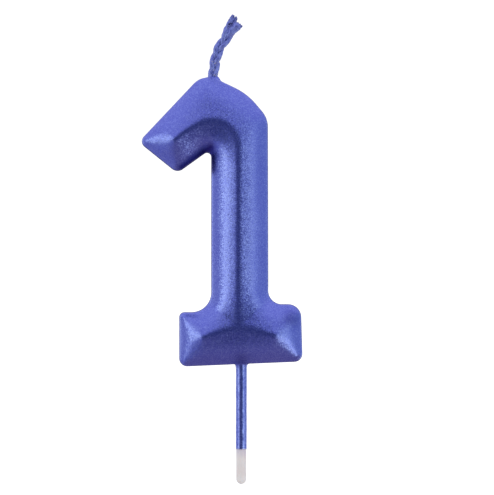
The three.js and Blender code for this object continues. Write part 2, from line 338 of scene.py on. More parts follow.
def smooth_curve(knots, steps):
    """A smooth curve through knots, with the given number of points from one knot to the next."""
    knots = np.array(knots, dtype=float)
    knots = np.vstack([2 * knots[0] - knots[1], knots, 2 * knots[-1] - knots[-2]])
    t = (np.arange(steps) / steps)[:, None]
    parts = []
    for before, start, end, after in zip(knots, knots[1:], knots[2:], knots[3:]):
        square = 2 * before - 5 * start + 4 * end - after
        cube = 3 * start - before - 3 * end + after
        bend = square * t ** 2 + cube * t ** 3
        parts.append(start + 0.5 * ((end - before) * t + bend))
    return np.vstack([*parts, knots[-2:-1]])


def nearest(points, starts, runs):
    """How far each point lies from the nearest of the segments."""
    length = (runs ** 2).sum(axis=1)
    gaps = []
    for some in np.array_split(points, max(1, len(points) // 1500)):
        offset = some[:, None, :] - starts[None]
        share = np.clip((offset * runs[None]).sum(axis=2) / length, 0, 1)
        gap = offset - share[..., None] * runs[None]
        gaps.append(np.sqrt((gap ** 2).sum(axis=2)).min(axis=1))
    return np.concatenate(gaps)


def line_gap(points, line):
    """How far each point lies from an open line of points."""
    return nearest(points, line[:-1], np.diff(line, axis=0))


def exact_depth(points, edge):
    """How far each point lies from the outline."""
    return nearest(points, edge, np.roll(edge, -1, axis=0) - edge)


def ridge_gap(points):
    """How far each point lies from the ridge lines."""
    lines = [smooth_curve(line, 12) * MM for line in RIDGE_LINES]
    return np.min([line_gap(points, line) for line in lines], axis=0)


def soft_depth(points, edge, power):
    """As exact_depth, but it turns smoothly where two parts of the outline are equally far away."""
    run = np.linalg.norm(np.roll(edge, -1, axis=0) - np.roll(edge, 1, axis=0), axis=1) / 2
    scale = math.sqrt(math.pi) * math.gamma((power - 1) / 2) / math.gamma(power / 2)
    depths = []
    for some in np.array_split(points / MM, max(1, len(points) // 1500)):
        square = ((some[:, None, :] - edge[None] / MM) ** 2).sum(axis=2)
        total = (square ** (-power / 2) * (run / MM)[None]).sum(axis=1)
        depths.append((scale / total) ** (1 / (power - 1)))
    return np.concatenate(depths) * MM


def inside(points, edge):
    """Which points lie within the outline."""
    x, z = points[:, 0][:, None], points[:, 1][:, None]
    x0, z0 = edge[:, 0][None], edge[:, 1][None]
    after = np.roll(edge, -1, axis=0)
    x1, z1 = after[:, 0][None], after[:, 1][None]
    spans = (z0 > z) != (z1 > z)
    crossing = x0 + (z - z0) * (x1 - x0) / np.where(z1 == z0, 1e-12, z1 - z0)
    return ((spans & (x < crossing)).sum(axis=1) % 2) == 1


def face_height(depth, digit):
    """Half the digit's thickness at a depth below its outline: a rim arc, a long flat arc, a ridge arc."""
    outer, inner = digit.outer_slope, digit.inner_slope
    rim_end = digit.rim_radius * (1 - math.sin(outer))
    ridge_start = digit.ridge_inset - digit.ridge_radius * math.sin(inner)
    face_radius = (ridge_start - rim_end) / (math.sin(outer) - math.sin(inner))
    face_base = digit.rim_half + (digit.rim_radius - face_radius) * math.cos(outer)
    ridge_base = face_base + (face_radius - digit.ridge_radius) * math.cos(inner)
    rim = digit.rim_half + np.sqrt(np.maximum(digit.rim_radius ** 2 - (digit.rim_radius - depth) ** 2, 0))
    lean = math.sin(outer) - (np.clip(depth, rim_end, ridge_start) - rim_end) / face_radius
    face = face_base + face_radius * np.sqrt(1 - lean ** 2)
    short = np.clip(digit.ridge_inset - depth, 0, digit.ridge_radius)
    ridge = ridge_base + np.sqrt(digit.ridge_radius ** 2 - short ** 2)
    return np.where(depth < rim_end, rim, np.where(depth < ridge_start, face, ridge))


# ---- Mesh helpers ----


def new_object(name, mesh, smooth=True):
    """Puts a mesh into the scene as an object."""
    mesh.validate()
    if smooth:
        mesh.polygons.foreach_set("use_smooth", [True] * len(mesh.polygons))
    piece = bpy.data.objects.new(name, mesh)
    bpy.context.scene.collection.objects.link(piece)
    return piece


def mesh_from(name, points, faces):
    """A mesh of the given points and faces."""
    mesh = bpy.data.meshes.new(name)
    mesh.from_pydata([tuple(p) for p in points], [], faces)
    mesh.update()
    return mesh


def revolved(name, profile, sides, wobble=0.0, seed=0.0):
    """A closed solid turned about Z from (radius, z) pairs from axis to axis, lowest first, in metres."""
    points, faces = [(0, 0, profile[0][1])], []
    middle = profile[1:-1]
    for radius, z in middle:
        for i in range(sides):
            angle = 2 * math.pi * i / sides
            direction = Vector((math.cos(angle), math.sin(angle), 0))
            place = Vector((direction.x * 1.6, direction.y * 1.6 + seed, z / MM * 0.4))
            swell = 1 + wobble * noise.noise(place)
            points.append(tuple(direction * radius * swell + Vector((0, 0, z))))
    points.append((0, 0, profile[-1][1]))
    top = len(points) - 1
    for i in range(sides):
        after = (i + 1) % sides
        faces.append((0, 1 + after, 1 + i))
        for k in range(len(middle) - 1):
            low, high = 1 + k * sides, 1 + (k + 1) * sides
            faces.append((low + i, low + after, high + after, high + i))
        last = 1 + (len(middle) - 1) * sides
        faces.append((last + i, last + after, top))
    return mesh_from(name, points, faces)


def swept(name, centres, radii, sides, up=Vector((0, 1, 0))):
    """A closed tube through centres. radii holds one radius for each point of each ring, in metres."""
    centres = [Vector(c) for c in centres]
    points, faces = [], []
    side = None
    for k, centre in enumerate(centres):
        tangent = (centres[min(k + 1, len(centres) - 1)] - centres[max(k - 1, 0)]).normalized()
        side = up if side is None else side
        side = (side - tangent * side.dot(tangent)).normalized()
        other = tangent.cross(side)
        for i in range(sides):
            angle = 2 * math.pi * i / sides
            arm = side * math.cos(angle) + other * math.sin(angle)
            points.append(tuple(centre + arm * float(radii[k][i])))
    for k in range(len(centres) - 1):
        for i in range(sides):
            after = (i + 1) % sides
            low, high = k * sides, (k + 1) * sides
            faces.append((low + i, low + after, high + after, high + i))
    for ring, centre in ((0, centres[0]), (len(centres) - 1, centres[-1])):
        points.append(tuple(centre))
        hub = len(points) - 1
        for i in range(sides):
            here, after = ring * sides + i, ring * sides + (i + 1) % sides
            faces.append((after, here, hub) if ring == 0 else (here, after, hub))
    return mesh_from(name, points, faces)


def places(mesh):
    """Where every vertex lies, one row for each."""
    spots = np.empty(3 * len(mesh.vertices))
    mesh.vertices.foreach_get("co", spots)
    return spots.reshape(-1, 3)


def mark(mesh, name, values):
    """Notes a value on every vertex."""
    layer = mesh.attributes.new(name, "FLOAT", "POINT")
    layer.data.foreach_set("value", values)


def combined(first, others, operation):
    """Joins other solids onto the first one, or cuts them out of it."""
    for other in others:
        cut = first.modifiers.new("combine", "BOOLEAN")
        cut.operation = operation
        cut.solver = "EXACT"
        cut.object = other
    depsgraph = bpy.context.evaluated_depsgraph_get()
    mesh = bpy.data.meshes.new_from_object(first.evaluated_get(depsgraph))
    first.modifiers.clear()
    first.data = mesh
    for other in others:
        bpy.data.objects.remove(other)


def softened(piece, chosen, rounds):
    """Smooths the vertices of a piece that chosen(position) picks, so that a joint runs together."""
    bm = bmesh.new()
    bm.from_mesh(piece.data)
    bmesh.ops.remove_doubles(bm, verts=bm.verts, dist=0.004 * MM)
    bmesh.ops.triangulate(bm, faces=bm.faces)
    picked = [v for v in bm.verts if chosen(v.co)]
    for _ in range(rounds):
        bmesh.ops.smooth_vert(
            bm, verts=picked, factor=0.5, use_axis_x=True, use_axis_y=True, use_axis_z=True)
    for face in bm.faces:
        face.smooth = True
    bm.to_mesh(piece.data)
    bm.free()


# ---- Materials ----


class Nodes:
    """A node tree under construction. A value is a number, a colour or a socket."""

    def __init__(self, tree):
        self.tree = tree

    def add(self, kind, **values):
        node = self.tree.nodes.new(kind)
        for key, value in values.items():
            setattr(node, key, value)
        return node

    def link(self, source, target):
        self.tree.links.new(source, target)

    def mapped(self, value, low, high, to_low=0.0, to_high=1.0, **values):
        """A value taken from one range to another."""
        node = self.add("ShaderNodeMapRange", **values)
        self.link(value, node.inputs["Value"])
        for key, number in (("From Min", low), ("From Max", high), ("To Min", to_low), ("To Max", to_high)):
            node.inputs[key].default_value = number
        return node.outputs["Result"]

    def mixed(self, share, first, second):
        """A colour between first and second."""
        node = self.add("ShaderNodeMix", data_type="RGBA")
        self.link(share, node.inputs["Factor"])
        for socket, value in ((node.inputs[6], first), (node.inputs[7], second)):
            if hasattr(value, "links"):
                self.link(value, socket)
            else:
                socket.default_value = (*value, 1)
        return node.outputs[2]

    def number(self, operation, *values):
        """What a sum of one, two or three values gives."""
        node = self.add("ShaderNodeMath", operation=operation)
        for socket, value in zip(node.inputs, values):
            if hasattr(value, "links"):
                self.link(value, socket)
            else:
                socket.default_value = value
        return node.outputs[0]


class Finish(Nodes):
    """A material under construction."""

    def __init__(self, name):
        self.material = bpy.data.materials.new(name)
        self.material.use_nodes = True
        super().__init__(self.material.node_tree)
        self.shader = self.tree.nodes["Principled BSDF"]
        self.place = self.add("ShaderNodeTexCoord").outputs["Object"]

    def noise(self, size, detail=3.0, roughness=0.55, place=None):
        """Soft noise whose blotches are about size metres across."""
        node = self.add("ShaderNodeTexNoise")
        self.link(place or self.place, node.inputs["Vector"])
        node.inputs["Scale"].default_value = 1 / size
        node.inputs["Detail"].default_value = detail
        node.inputs["Roughness"].default_value = roughness
        return node.outputs["Fac"]

    def flakes(self, size):
        """A random colour for each flake."""
        node = self.add("ShaderNodeTexVoronoi")
        self.link(self.place, node.inputs["Vector"])
        node.inputs["Scale"].default_value = 1 / size
        return node.outputs["Color"]

    def height(self):
        """The z coordinate, in metres."""
        node = self.add("ShaderNodeSeparateXYZ")
        self.link(self.place, node.inputs[0])
        return node.outputs["Z"]

    def bump(self, value, strength, distance):
        """The surface's normal over bumps of a given height."""
        node = self.add("ShaderNodeBump")
        node.inputs["Strength"].default_value = strength
        node.inputs["Distance"].default_value = distance
        self.link(value, node.inputs["Height"])
        return node.outputs["Normal"]

    def tilted(self, colour, amount, below):
        """The surface's normal tilted at random, flake by flake."""
        centred = self.add("ShaderNodeVectorMath", operation="SUBTRACT")
        self.link(colour, centred.inputs[0])
        centred.inputs[1].default_value = (0.5, 0.5, 0.5)
        scaled = self.add("ShaderNodeVectorMath", operation="SCALE")
        self.link(centred.outputs[0], scaled.inputs[0])
        scaled.inputs["Scale"].default_value = amount
        total = self.add("ShaderNodeVectorMath", operation="ADD")
        self.link(scaled.outputs[0], total.inputs[0])
        self.link(below, total.inputs[1])
        unit = self.add("ShaderNodeVectorMath", operation="NORMALIZE")
        self.link(total.outputs[0], unit.inputs[0])
        return unit.outputs[0]

    def marked(self, name):
        """The value that mark() noted on the mesh."""
        return self.add("ShaderNodeAttribute", attribute_name=name).outputs["Fac"]

    def set(self, **values):
        """Fixed values on the shader's own sockets."""
        for key, value in values.items():
            socket = self.shader.inputs[key.replace("_", " ")]
            socket.default_value = (*value, 1) if isinstance(value, tuple) and len(value) == 3 else value


def lacquer_finish(looks, coat_end):
    """Pearl blue lacquer: metal flakes in a clear film, thinning out at its end on the pick."""
    f = Finish("blue_pearl_lacquer")
    flake = f.flakes(looks.flake)
    bright = f.add("ShaderNodeSeparateColor")
    f.link(flake, bright.inputs[0])
    sparkle = f.mapped(bright.outputs["Red"], 0.55, 1.0, 0.0, 1.0)
    cloud = f.mapped(f.noise(6 * MM), 0.35, 0.65, 0.0, 0.25)
    mottle = f.number("MULTIPLY", f.mapped(f.noise(0.5 * MM, 2), 0.35, 0.65, -0.4, 1.3),
                      f.mapped(f.height(), -1.0 * MM, 0.0, 1.0, 0.0))
    grain = f.mapped(f.noise(0.30 * MM, 2), 0.3, 0.7, -0.5, 0.5)
    share = f.number("MULTIPLY", sparkle, 0.75)
    for part in (cloud, mottle, grain):
        share = f.number("ADD", share, part)
    colour = f.mixed(share, tuple(looks.lacquer), tuple(looks.lacquer_light))
    # Painted shade: a darker blue mixed in under the flag, in the inner corner, on the foot's right shoulder
    # and above the pick.
    colour = f.mixed(f.marked("painted_shade_share"), colour, SHADE_PAINT_BLUE)
    thin = f.number("ADD", f.height(), f.number("MULTIPLY", f.noise(1.1 * MM), -0.5 * MM))
    end = f.mapped(thin, coat_end - 0.4 * MM, coat_end + 0.05 * MM, 0.75, 0.0)
    f.link(f.mixed(end, colour, tuple(looks.pick)), f.shader.inputs["Base Color"])
    f.link(f.mapped(bright.outputs["Green"], 0, 1, 0.28, 0.36), f.shader.inputs["Roughness"])
    orange_peel = f.bump(f.noise(0.9 * MM, 2), 0.10, 0.05 * MM)
    f.link(f.tilted(flake, 0.155, orange_peel), f.shader.inputs["Normal"])
    f.link(f.mapped(end, 0, 0.75, 0.88, 0.1), f.shader.inputs["Metallic"])
    f.set(Coat_Weight=0.4, Coat_Roughness=0.24, Coat_IOR=1.5, IOR=1.5)
    return f.material


def wick_finish(looks):
    """Cotton soaked with the lacquer, with shade painted dark between the strands and in the frayed tip, and
    a few bare threads near its foot.
    """
    f = Finish("lacquered_cotton")
    fibre = f.noise(0.14 * MM, 4, 0.7)
    clump = f.noise(0.8 * MM, 3, 0.6)
    share = f.number("ADD", f.mapped(clump, 0.38, 0.65, -0.25, 0.75), f.mapped(fibre, 0.4, 0.7, 0.0, 0.4))
    strand_tone = f.mixed(share, tuple(looks.lacquer), tuple(1.15 * c for c in looks.lacquer_light))
    # Painted shade: darker blue where the strands crowd each other, in the frayed tip and in the yarns'
    # twists.
    crevice_shaded = f.mixed(f.mapped(f.marked("crevice_shade"), 0.1, 0.9, 0.0, 0.92), strand_tone, CREVICE_SHADE_BLUE)
    bare = f.number("MULTIPLY", f.mapped(f.noise(0.55 * MM, 2), 0.61, 0.67, 0.0, 0.8),
                    f.mapped(f.height(), 72.5 * MM, 75.5 * MM, 1.0, 0.0))
    f.link(f.mixed(bare, crevice_shaded, tuple(looks.cotton)), f.shader.inputs["Base Color"])
    f.link(f.mapped(clump, 0.3, 0.7, 0.34, 0.60), f.shader.inputs["Roughness"])
    f.link(f.bump(fibre, 0.45, 0.07 * MM), f.shader.inputs["Normal"])
    f.set(Metallic=0.5, Coat_Weight=0.35, Coat_Roughness=0.35, Sheen_Weight=0.15, Sheen_Roughness=0.5)
    return f.material


def pick_finish(looks):
    """Smooth off-white plastic that lets a little light in, with faint lengthwise drawing marks."""
    f = Finish("bare_pick_plastic")
    stretched = f.add("ShaderNodeMapping")
    f.link(f.place, stretched.inputs["Vector"])
    stretched.inputs["Scale"].default_value = (1, 1, 0.08)
    marks = f.noise(0.25 * MM, 3, 0.6, place=stretched.outputs[0])
    cloud = f.noise(2.2 * MM, 2)
    pale = tuple(min(1, 1.12 * c) for c in looks.pick)
    plain = f.mixed(f.mapped(cloud, 0.35, 0.65), tuple(looks.pick), pale)
    stained = f.mapped(f.height(), COAT_LOW.z - 2.4 * MM, COAT_LOW.z + 0.2 * MM, 0.0, 0.5)
    f.link(f.mixed(stained, plain, PICK_STAIN), f.shader.inputs["Base Color"])
    f.link(f.mapped(marks, 0.3, 0.7, 0.32, 0.5), f.shader.inputs["Roughness"])
    f.link(f.bump(marks, 0.15, 0.03 * MM), f.shader.inputs["Normal"])
    f.set(Subsurface_Weight=0.35, Subsurface_Scale=1.0 * MM, IOR=1.49)
    f.shader.inputs["Subsurface Radius"].default_value = (1.0, 0.9, 0.85)
    return f.material


def wax_finish(looks):
    """Cast paraffin: milky, with soft clouding."""
    f = Finish("cast_paraffin")
    cloud = f.noise(3 * MM, 4)
    dull = tuple(0.9 * c for c in looks.wax)
    f.link(f.mixed(f.mapped(cloud, 0.35, 0.65), tuple(looks.wax), dull), f.shader.inputs["Base Color"])
    f.link(f.mapped(cloud, 0.3, 0.7, 0.4, 0.6), f.shader.inputs["Roughness"])
    f.link(f.bump(f.noise(0.8 * MM, 2), 0.1, 0.05 * MM), f.shader.inputs["Normal"])
    f.set(Subsurface_Weight=0.4, Subsurface_Scale=2.0 * MM, IOR=1.44)
    return f.material


# ---- The lacquered digit ----


def digit_mesh(name, digit, step, below=0.0):
    """The digit's surface, or one below it: a crowned rim, rounded edges, and faces that rise to a ridge."""
    edge, inward = outline(step * 0.8)
    count = len(edge)
    rim_radius = digit.rim_radius - below
    level = math.pi / 2 - digit.outer_slope
    rows = []
    for k in range(RIM_RINGS + 1):
        angle = level * k / RIM_RINGS
        inset = digit.rim_radius - rim_radius * math.cos(angle)
        rows.append((edge + inward * inset, digit.rim_half + rim_radius * math.sin(angle)))
    crown = []
    for share in RIM_SHARES:
        seam = digit.seam * max(0.0, 1 - abs(share) / SEAM_HALF)
        bulge = RIM_BULGE * (1 - share ** 2)
        crown.append((edge + inward * (below - seam - bulge), share * digit.rim_half))
    rings = [(ring, -half) for ring, half in reversed(rows)] + crown + rows
    points, faces = [], []
    for ring, y in rings:
        points.extend((p[0], y, p[1]) for p in ring)
    for k in range(len(rings) - 1):
        for i in range(count):
            after = (i + 1) % count
            low, high = k * count, (k + 1) * count
            faces.append((low + i, high + i, high + after, low + after))
    grid, triangles = face_grid(rows[-1][0], step)
    half, depth = face_field(grid, digit)
    half -= below / math.cos((digit.outer_slope + digit.inner_slope) / 2)
    for sign, first in ((-1, 0), (1, (len(rings) - 1) * count)):
        base = len(points)
        for index, (x, z) in enumerate(grid):
            swell = noise.noise(Vector((x, sign * 20 * MM, z)) / WAVE_LONG) * digit.waviness
            swell += noise.noise(Vector((x, sign * 50 * MM, z)) / WAVE_SHORT) * digit.waviness * 0.3
            fade = min(1.0, max(0.0, depth[index] / MM - 0.8))
            points.append((x, sign * (half[index] + swell * fade), z))
        for triangle in triangles:
            a, b, c = (first + i if i < count else base + i - count for i in triangle)
            faces.append((a, b, c) if sign < 0 else (a, c, b))
    return mesh_from(name, points, faces)


def face_field(grid, digit):
    """Half the digit's thickness at each point of a face, and the point's depth below the outline."""
    edge, _ = outline(0.1 * MM)
    exact = exact_depth(grid, edge)
    soft = soft_depth(grid, edge, digit.softness)
    blend = np.clip((exact / MM - 0.7) / 1.3, 0, 1)
    depth = exact + (soft - exact) * blend * blend * (3 - 2 * blend)
    total = depth + ridge_gap(grid)
    even = digit.ridge_inset / total
    return face_height(depth * (1 + (even - 1) * np.sqrt(depth / total)), digit), exact


def face_grid(ring, step):
    """Points spread over a face inside a ring, and the triangles that join them to it."""
    row_step = step * math.sqrt(3) / 2
    low, high = ring.min(axis=0), ring.max(axis=0)
    spots = []
    for row in range(int((high[1] - low[1]) / row_step) + 1):
        z = low[1] + row * row_step
        shift = step / 2 * (row % 2)
        spots.extend((low[0] + shift + i * step, z) for i in range(int((high[0] - low[0]) / step) + 1))
    spots = np.array(spots)
    spots = spots[inside(spots, ring)]
    spots = spots[exact_depth(spots, ring) > 0.6 * step]
    everything = [Vector(p) for p in ring] + [Vector(p) for p in spots]
    boundary = [(i, (i + 1) % len(ring)) for i in range(len(ring))]
    found, _, triangles, origins, _, _ = delaunay_2d_cdt(everything, boundary, [], 1, 1e-9)
    known = {k: origin[0] for k, origin in enumerate(origins) if origin}
    return spots, [tuple(known[i] for i in triangle) for triangle in triangles]


def collar_mesh():
    """The small lump of lacquer that climbs the foot of the wick."""
    return revolved("wick_collar", [(r * MM, z * MM) for r, z in COLLAR_PROFILE], 48, 0.16, 3.1)


def sleeve_mesh(pick):
    """The lacquer on the pick, from its end on the pick to its fillet under the foot."""
    outer = PICK_RADIUS + pick.lacquer
    end = COAT_LOW.z
    profile = [(0.0, end + 0.02 * MM), (outer - 0.05 * MM, end), (outer - 0.02 * MM, end + 0.03 * MM),
               (outer, end + 0.12 * MM)]
    rows = 60
    top = -pick.fillet * 1.3
    for k in range(1, rows + 1):
        z = end + 0.12 * MM + (top - end - 0.12 * MM) * k / rows
        wave = 0.03 * MM * noise.noise(Vector((0.3, 7.7, z / (1.7 * MM))))
        profile.append((outer + wave, z))
    for k in range(1, 10):
        angle = math.pi / 2 * k / 9
        radius = outer + pick.fillet * (1 - math.cos(angle))
        profile.append((radius, top + pick.fillet * 2.1 * math.sin(angle)))
    profile.append((PICK_RADIUS, 1.6 * MM))
    profile.append((0.0, 1.6 * MM))
    return revolved("pick_lacquer", profile, pick.sides, 0.03, 9.4)


def mark_painted_shade(mesh):
    """Notes on every vertex how much painted shade it gets: a darker blue under the flag, in the inner
    corner, on the foot's right shoulder and above the pick.
    """
    spots = places(mesh)
    gap = line_gap(spots[:, [0, 2]], np.array(SHADE_PAINT_LINE) * MM) / MM
    painted_shade_share = np.clip(SHADE_PAINT_FULL - gap / SHADE_PAINT_REACH, 0, 1) ** 2
    for x, z, reach, share in SHADE_PAINT_SPOTS:
        away = np.hypot(spots[:, 0] / MM - x, spots[:, 2] / MM - z)
        painted_shade_share += share * np.exp(-(away / reach) ** 2)
    mark(mesh, "painted_shade_share", np.clip(painted_shade_share, 0, 1))


class CANDLE_OT_coat(bpy.types.Operator):
    """Build the lacquered digit with its collar and its sleeve on the pick"""

    bl_idname = "candle.coat"
    bl_label = "Lacquered digit"

    def execute(self, context):
        scene = context.scene
        digit = scene.candle_digit
        coat = new_object("lacquered_digit", digit_mesh("lacquered_digit", digit, digit.mesh_step))
        collar = new_object("wick_collar", collar_mesh())
        collar.location = WICK_EXIT
        sleeve = new_object("pick_lacquer", sleeve_mesh(scene.candle_pick))
        context.view_layer.update()
        combined(coat, [collar, sleeve], "UNION")

        def near_joint(p):
            beside_pick = math.hypot(p.x, p.y)
            beside_wick = math.hypot(p.x - WICK_EXIT.x, p.y)
            low = beside_pick < 2.7 * MM and abs(p.z) < 1.4 * MM
            return low or (beside_wick < 2.9 * MM and WICK_EXIT.z - 1.6 * MM < p.z < WICK_EXIT.z + 0.5 * MM)

        softened(coat, near_joint, 6)
        # Notes where shade is painted on the lacquer.
        mark_painted_shade(coat.data)
        coat.data.materials.append(lacquer_finish(scene.candle_finish, COAT_LOW.z))
        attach(coat, "root")
        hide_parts("lacquer_coat")
        return {"FINISHED"}


# ---- The wick ----


def route_points(step):
    """Points along the wick's route, evenly spaced, with the distance of each from the start, in metres."""
    curve = smooth_curve([(x, 0, z) for x, z in WICK_ROUTE], 40) * MM
    run = np.concatenate([[0], np.cumsum(np.linalg.norm(np.diff(curve, axis=0), axis=1))])
    at = np.linspace(0, run[-1], max(2, int(run[-1] / step)))
    return np.stack([np.interp(at, run, curve[:, k]) for k in range(3)], axis=1), at


def fray_share(wick, at):
    """0 along the plait, rising to 1 over the frayed length at the tip."""
    return np.clip((at - at[-1] + wick.fray_length) / wick.fray_length, 0, 1)


def strand_path(wick, index):
    """The centreline of one strand, and its distance along the route."""
    points, at = route_points(0.16 * MM)
    tangent = np.gradient(points, axis=0)
    tangent /= np.linalg.norm(tangent, axis=1)[:, None]
    across = np.stack([tangent[:, 2], np.zeros(len(at)), -tangent[:, 0]], axis=1)
    phase = 2 * math.pi * (at / wick.pitch + index / len(FRAY_ENDS))
    back = np.array([0, 1, 0])
    frayed = fray_share(wick, at)[:, None] ** 2
    path = points + across * (wick.swing_wide * np.cos(phase))[:, None]
    path += back * (wick.swing_deep * np.sin(2 * phase))[:, None]
    path += frayed * (np.array(FRAY_ENDS[index][:3]) * MM - path[-1])
    return path, at


def strand_mesh(wick, index):
    """One strand: twisted yarns clogged with lacquer, softly lobed, and swollen where it frays."""
    path, at = strand_path(wick, index)
    others = [strand_path(wick, other)[0] for other in range(len(FRAY_ENDS)) if other != index]
    girth = FRAY_ENDS[index][3] * MM
    sides = 30
    frayed = fray_share(wick, at) ** 1.3
    radii = []
    for k, along in enumerate(at):
        base = wick.strand_radius + (girth - wick.strand_radius) * frayed[k]
        swell = 1 + 0.14 * noise.noise(Vector((index * 5.1, along / (1.6 * MM), 0.0)))
        ring = []
        for i in range(sides):
            angle = 2 * math.pi * i / sides
            lobe = abs(math.cos(wick.yarns * (angle - 2 * math.pi * along / wick.twist_pitch) / 2))
            place = Vector((math.cos(angle), math.sin(angle), along / (0.8 * MM) + 9 * index))
            clog = 0.5 + 0.5 * noise.noise(place)
            lump = noise.noise(place * 1.7) * (0.08 + 0.30 * frayed[k])
            ring.append(base * swell * (1 - 0.16 * (1 - lobe) * (1 - 0.6 * clog) + lump))
        radii.append(ring)
    for step, share in ((-1, 0.55), (-2, 0.85), (-3, 0.96), (0, 0.6)):
        radii[step] = [share * r for r in radii[step]]
    mesh = swept(f"wick_strand_{index + 1}", path, radii, sides)
    # Painted shade: how dark the colour is painted where other strands come near and inside the frayed tip.
    spots = places(mesh)
    gap = np.min([line_gap(spots, line) for line in others], axis=0)
    tip_gap = np.linalg.norm(spots - path[-1], axis=1)
    tip_shade = np.clip(1.4 - tip_gap / (1.3 * girth), 0, 0.75)
    mark(mesh, "crevice_shade", np.clip((1.12 - gap / wick.strand_radius) / 0.4 + tip_shade, 0, 1))
    return mesh, path


def frayed_yarns(wick, index, path):
    """The loose yarn ends round one strand's tip, as separate tubes clogged with lacquer."""
    tip = Vector(path[-1])
    heading = (tip - Vector(path[-8])).normalized()
    side = heading.cross(Vector((0, 1, 0))).normalized()
    other = heading.cross(side)
    girth = FRAY_ENDS[index][3] * MM
    count = wick.yarns + 3
    meshes = []
    for i in range(count):
        angle = 2 * math.pi * (i + 0.37 * index) / count
        reach = (0.05 + 0.32 * abs(noise.cell(Vector((i + 0.5, index + 0.5, 0.5))))) * MM
        spread = girth * (0.50 + 0.45 * abs(noise.cell(Vector((i + 0.5, index + 0.5, 3.5)))))
        out = side * math.cos(angle) + other * math.sin(angle)
        centres, radii, shade = [], [], []
        for k in range(13):
            t = k / 12
            centre = tip + heading * (t * (1.6 * MM + reach) - 1.6 * MM)
            centres.append(centre + out * (0.62 * girth + (spread - 0.62 * girth) * t * t))
            yarn = 0.33 * MM * (1 - 0.25 * t ** 3) * (1 + 0.25 * noise.noise(Vector((t * 4, i, index))))
            turns = [2 * math.pi * j / 12 for j in range(12)]
            radii.append([yarn * (1 + 0.10 * math.cos(3 * (turn + 5 * t))) for turn in turns])
            # Painted shade in the valleys of each yarn's twist.
            shade.extend(0.35 - 0.35 * math.cos(3 * (turn + 5 * t)) for turn in turns)
        radii[-1] = [0.55 * r for r in radii[-1]]
        mesh = swept(f"yarn_{index}_{i}", centres, radii, 12)
        mark(mesh, "crevice_shade", [*shade, 0.5, 0.8])
        meshes.append(mesh)
    return meshes


class CANDLE_OT_wick(bpy.types.Operator):
    """Build the plaited wick, one piece for each strand with its frayed yarn ends"""

    bl_idname = "candle.wick"
    bl_label = "Plaited wick"

    def execute(self, context):
        wick = context.scene.candle_wick
        finish = wick_finish(context.scene.candle_finish)
        for index in range(len(FRAY_ENDS)):
            mesh, path = strand_mesh(wick, index)
            bm = bmesh.new()
            bm.from_mesh(mesh)
            for yarn in frayed_yarns(wick, index, path):
                bm.from_mesh(yarn)
            bm.to_mesh(mesh)
            bm.free()
            strand = new_object(f"wick_strand_{index + 1}", mesh)
            strand.data.materials.append(finish)
            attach(strand, "root")
            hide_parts(f"wick_ply_{index + 1}")
        return {"FINISHED"}


# ---- The pick and the wax ----


def pick_mesh(name, settings, grown=0.05 * MM, wobble=0.006):
    """The pick's surface from its rounded tip to its grooved head, or one that lies outside it."""
    radius = PICK_RADIUS + grown
    profile = [(0.0, PICK_LOW.z - grown)]
    for k in range(1, 13):
        angle = math.pi / 2 * k / 12
        profile.append((radius * math.sin(angle), PICK_LOW.z - grown + radius * (1 - math.cos(angle))))
    rows = 50
    start = profile[-1][1]
    for k in range(1, rows + 1):
        profile.append((radius, start + (3 * MM - start) * k / rows))
    for k in range(GROOVES):
        z = (GROOVE_FIRST + GROOVE_PITCH * k) * MM
        floor = radius - GROOVE_DEPTH
        profile.extend([(radius, z - GROOVE_HALF), (floor, z - GROOVE_FLOOR),
                        (floor, z + GROOVE_FLOOR), (radius, z + GROOVE_HALF)])
    top = PICK_HIGH.z + grown
    profile.extend([(radius, top - 0.1 * MM), (radius - 0.1 * MM, top), (0.0, top)])
    return revolved(name, profile, settings.sides, wobble, 5.0)


class CANDLE_OT_pick(bpy.types.Operator):
    """Build the pick with its rounded bare end and its cast-in head"""

    bl_idname = "candle.pick"
    bl_label = "Pick"

    def execute(self, context):
        scene = context.scene
        pick = new_object("cast_in_pick", pick_mesh("cast_in_pick", scene.candle_pick))
        pick.data.materials.append(pick_finish(scene.candle_finish))
        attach(pick, "root")
        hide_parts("pick")
        return {"FINISHED"}


class CANDLE_OT_wax(bpy.types.Operator):
    """Build the cast wax under the lacquer, with its channel for the wick and its socket for the pick"""

    bl_idname = "candle.wax"
    bl_label = "Wax"

    def execute(self, context):
        scene = context.scene
        digit, wick = scene.candle_digit, scene.candle_wick
        wax = new_object("cast_wax", digit_mesh("cast_wax", digit, 2 * digit.mesh_step, digit.skin))
        socket = new_object("pick_socket", pick_mesh("pick_socket", scene.candle_pick, 0.08 * MM, 0.0))
        centres, _ = route_points(0.8 * MM)
        room = 1.15 * (wick.swing_wide + wick.strand_radius)
        channel = new_object("wick_channel", swept("wick_channel", centres, [[room] * 24] * len(centres), 24))
        context.view_layer.update()
        combined(wax, [socket, channel], "DIFFERENCE")
        wax.data.materials.append(wax_finish(scene.candle_finish))
        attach(wax, "root")
        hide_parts("wax_core")
        return {"FINISHED"}


# ---- The stage ----


def softbox(name, place, target, size, power, colour):
    """A large soft area light that faces target."""
    data = bpy.data.lights.new(name, "AREA")
    data.shape = "RECTANGLE"
    data.size, data.size_y = size
    data.energy = power
    data.color = colour
    lamp = bpy.data.objects.new(name, data)
    bpy.context.scene.collection.objects.link(lamp)
    lamp.location = place
    lamp.rotation_mode = "QUATERNION"
    lamp.rotation_quaternion = (Vector(target) - Vector(place)).to_track_quat("-Z", "Y")
    lamp.visible_camera = False


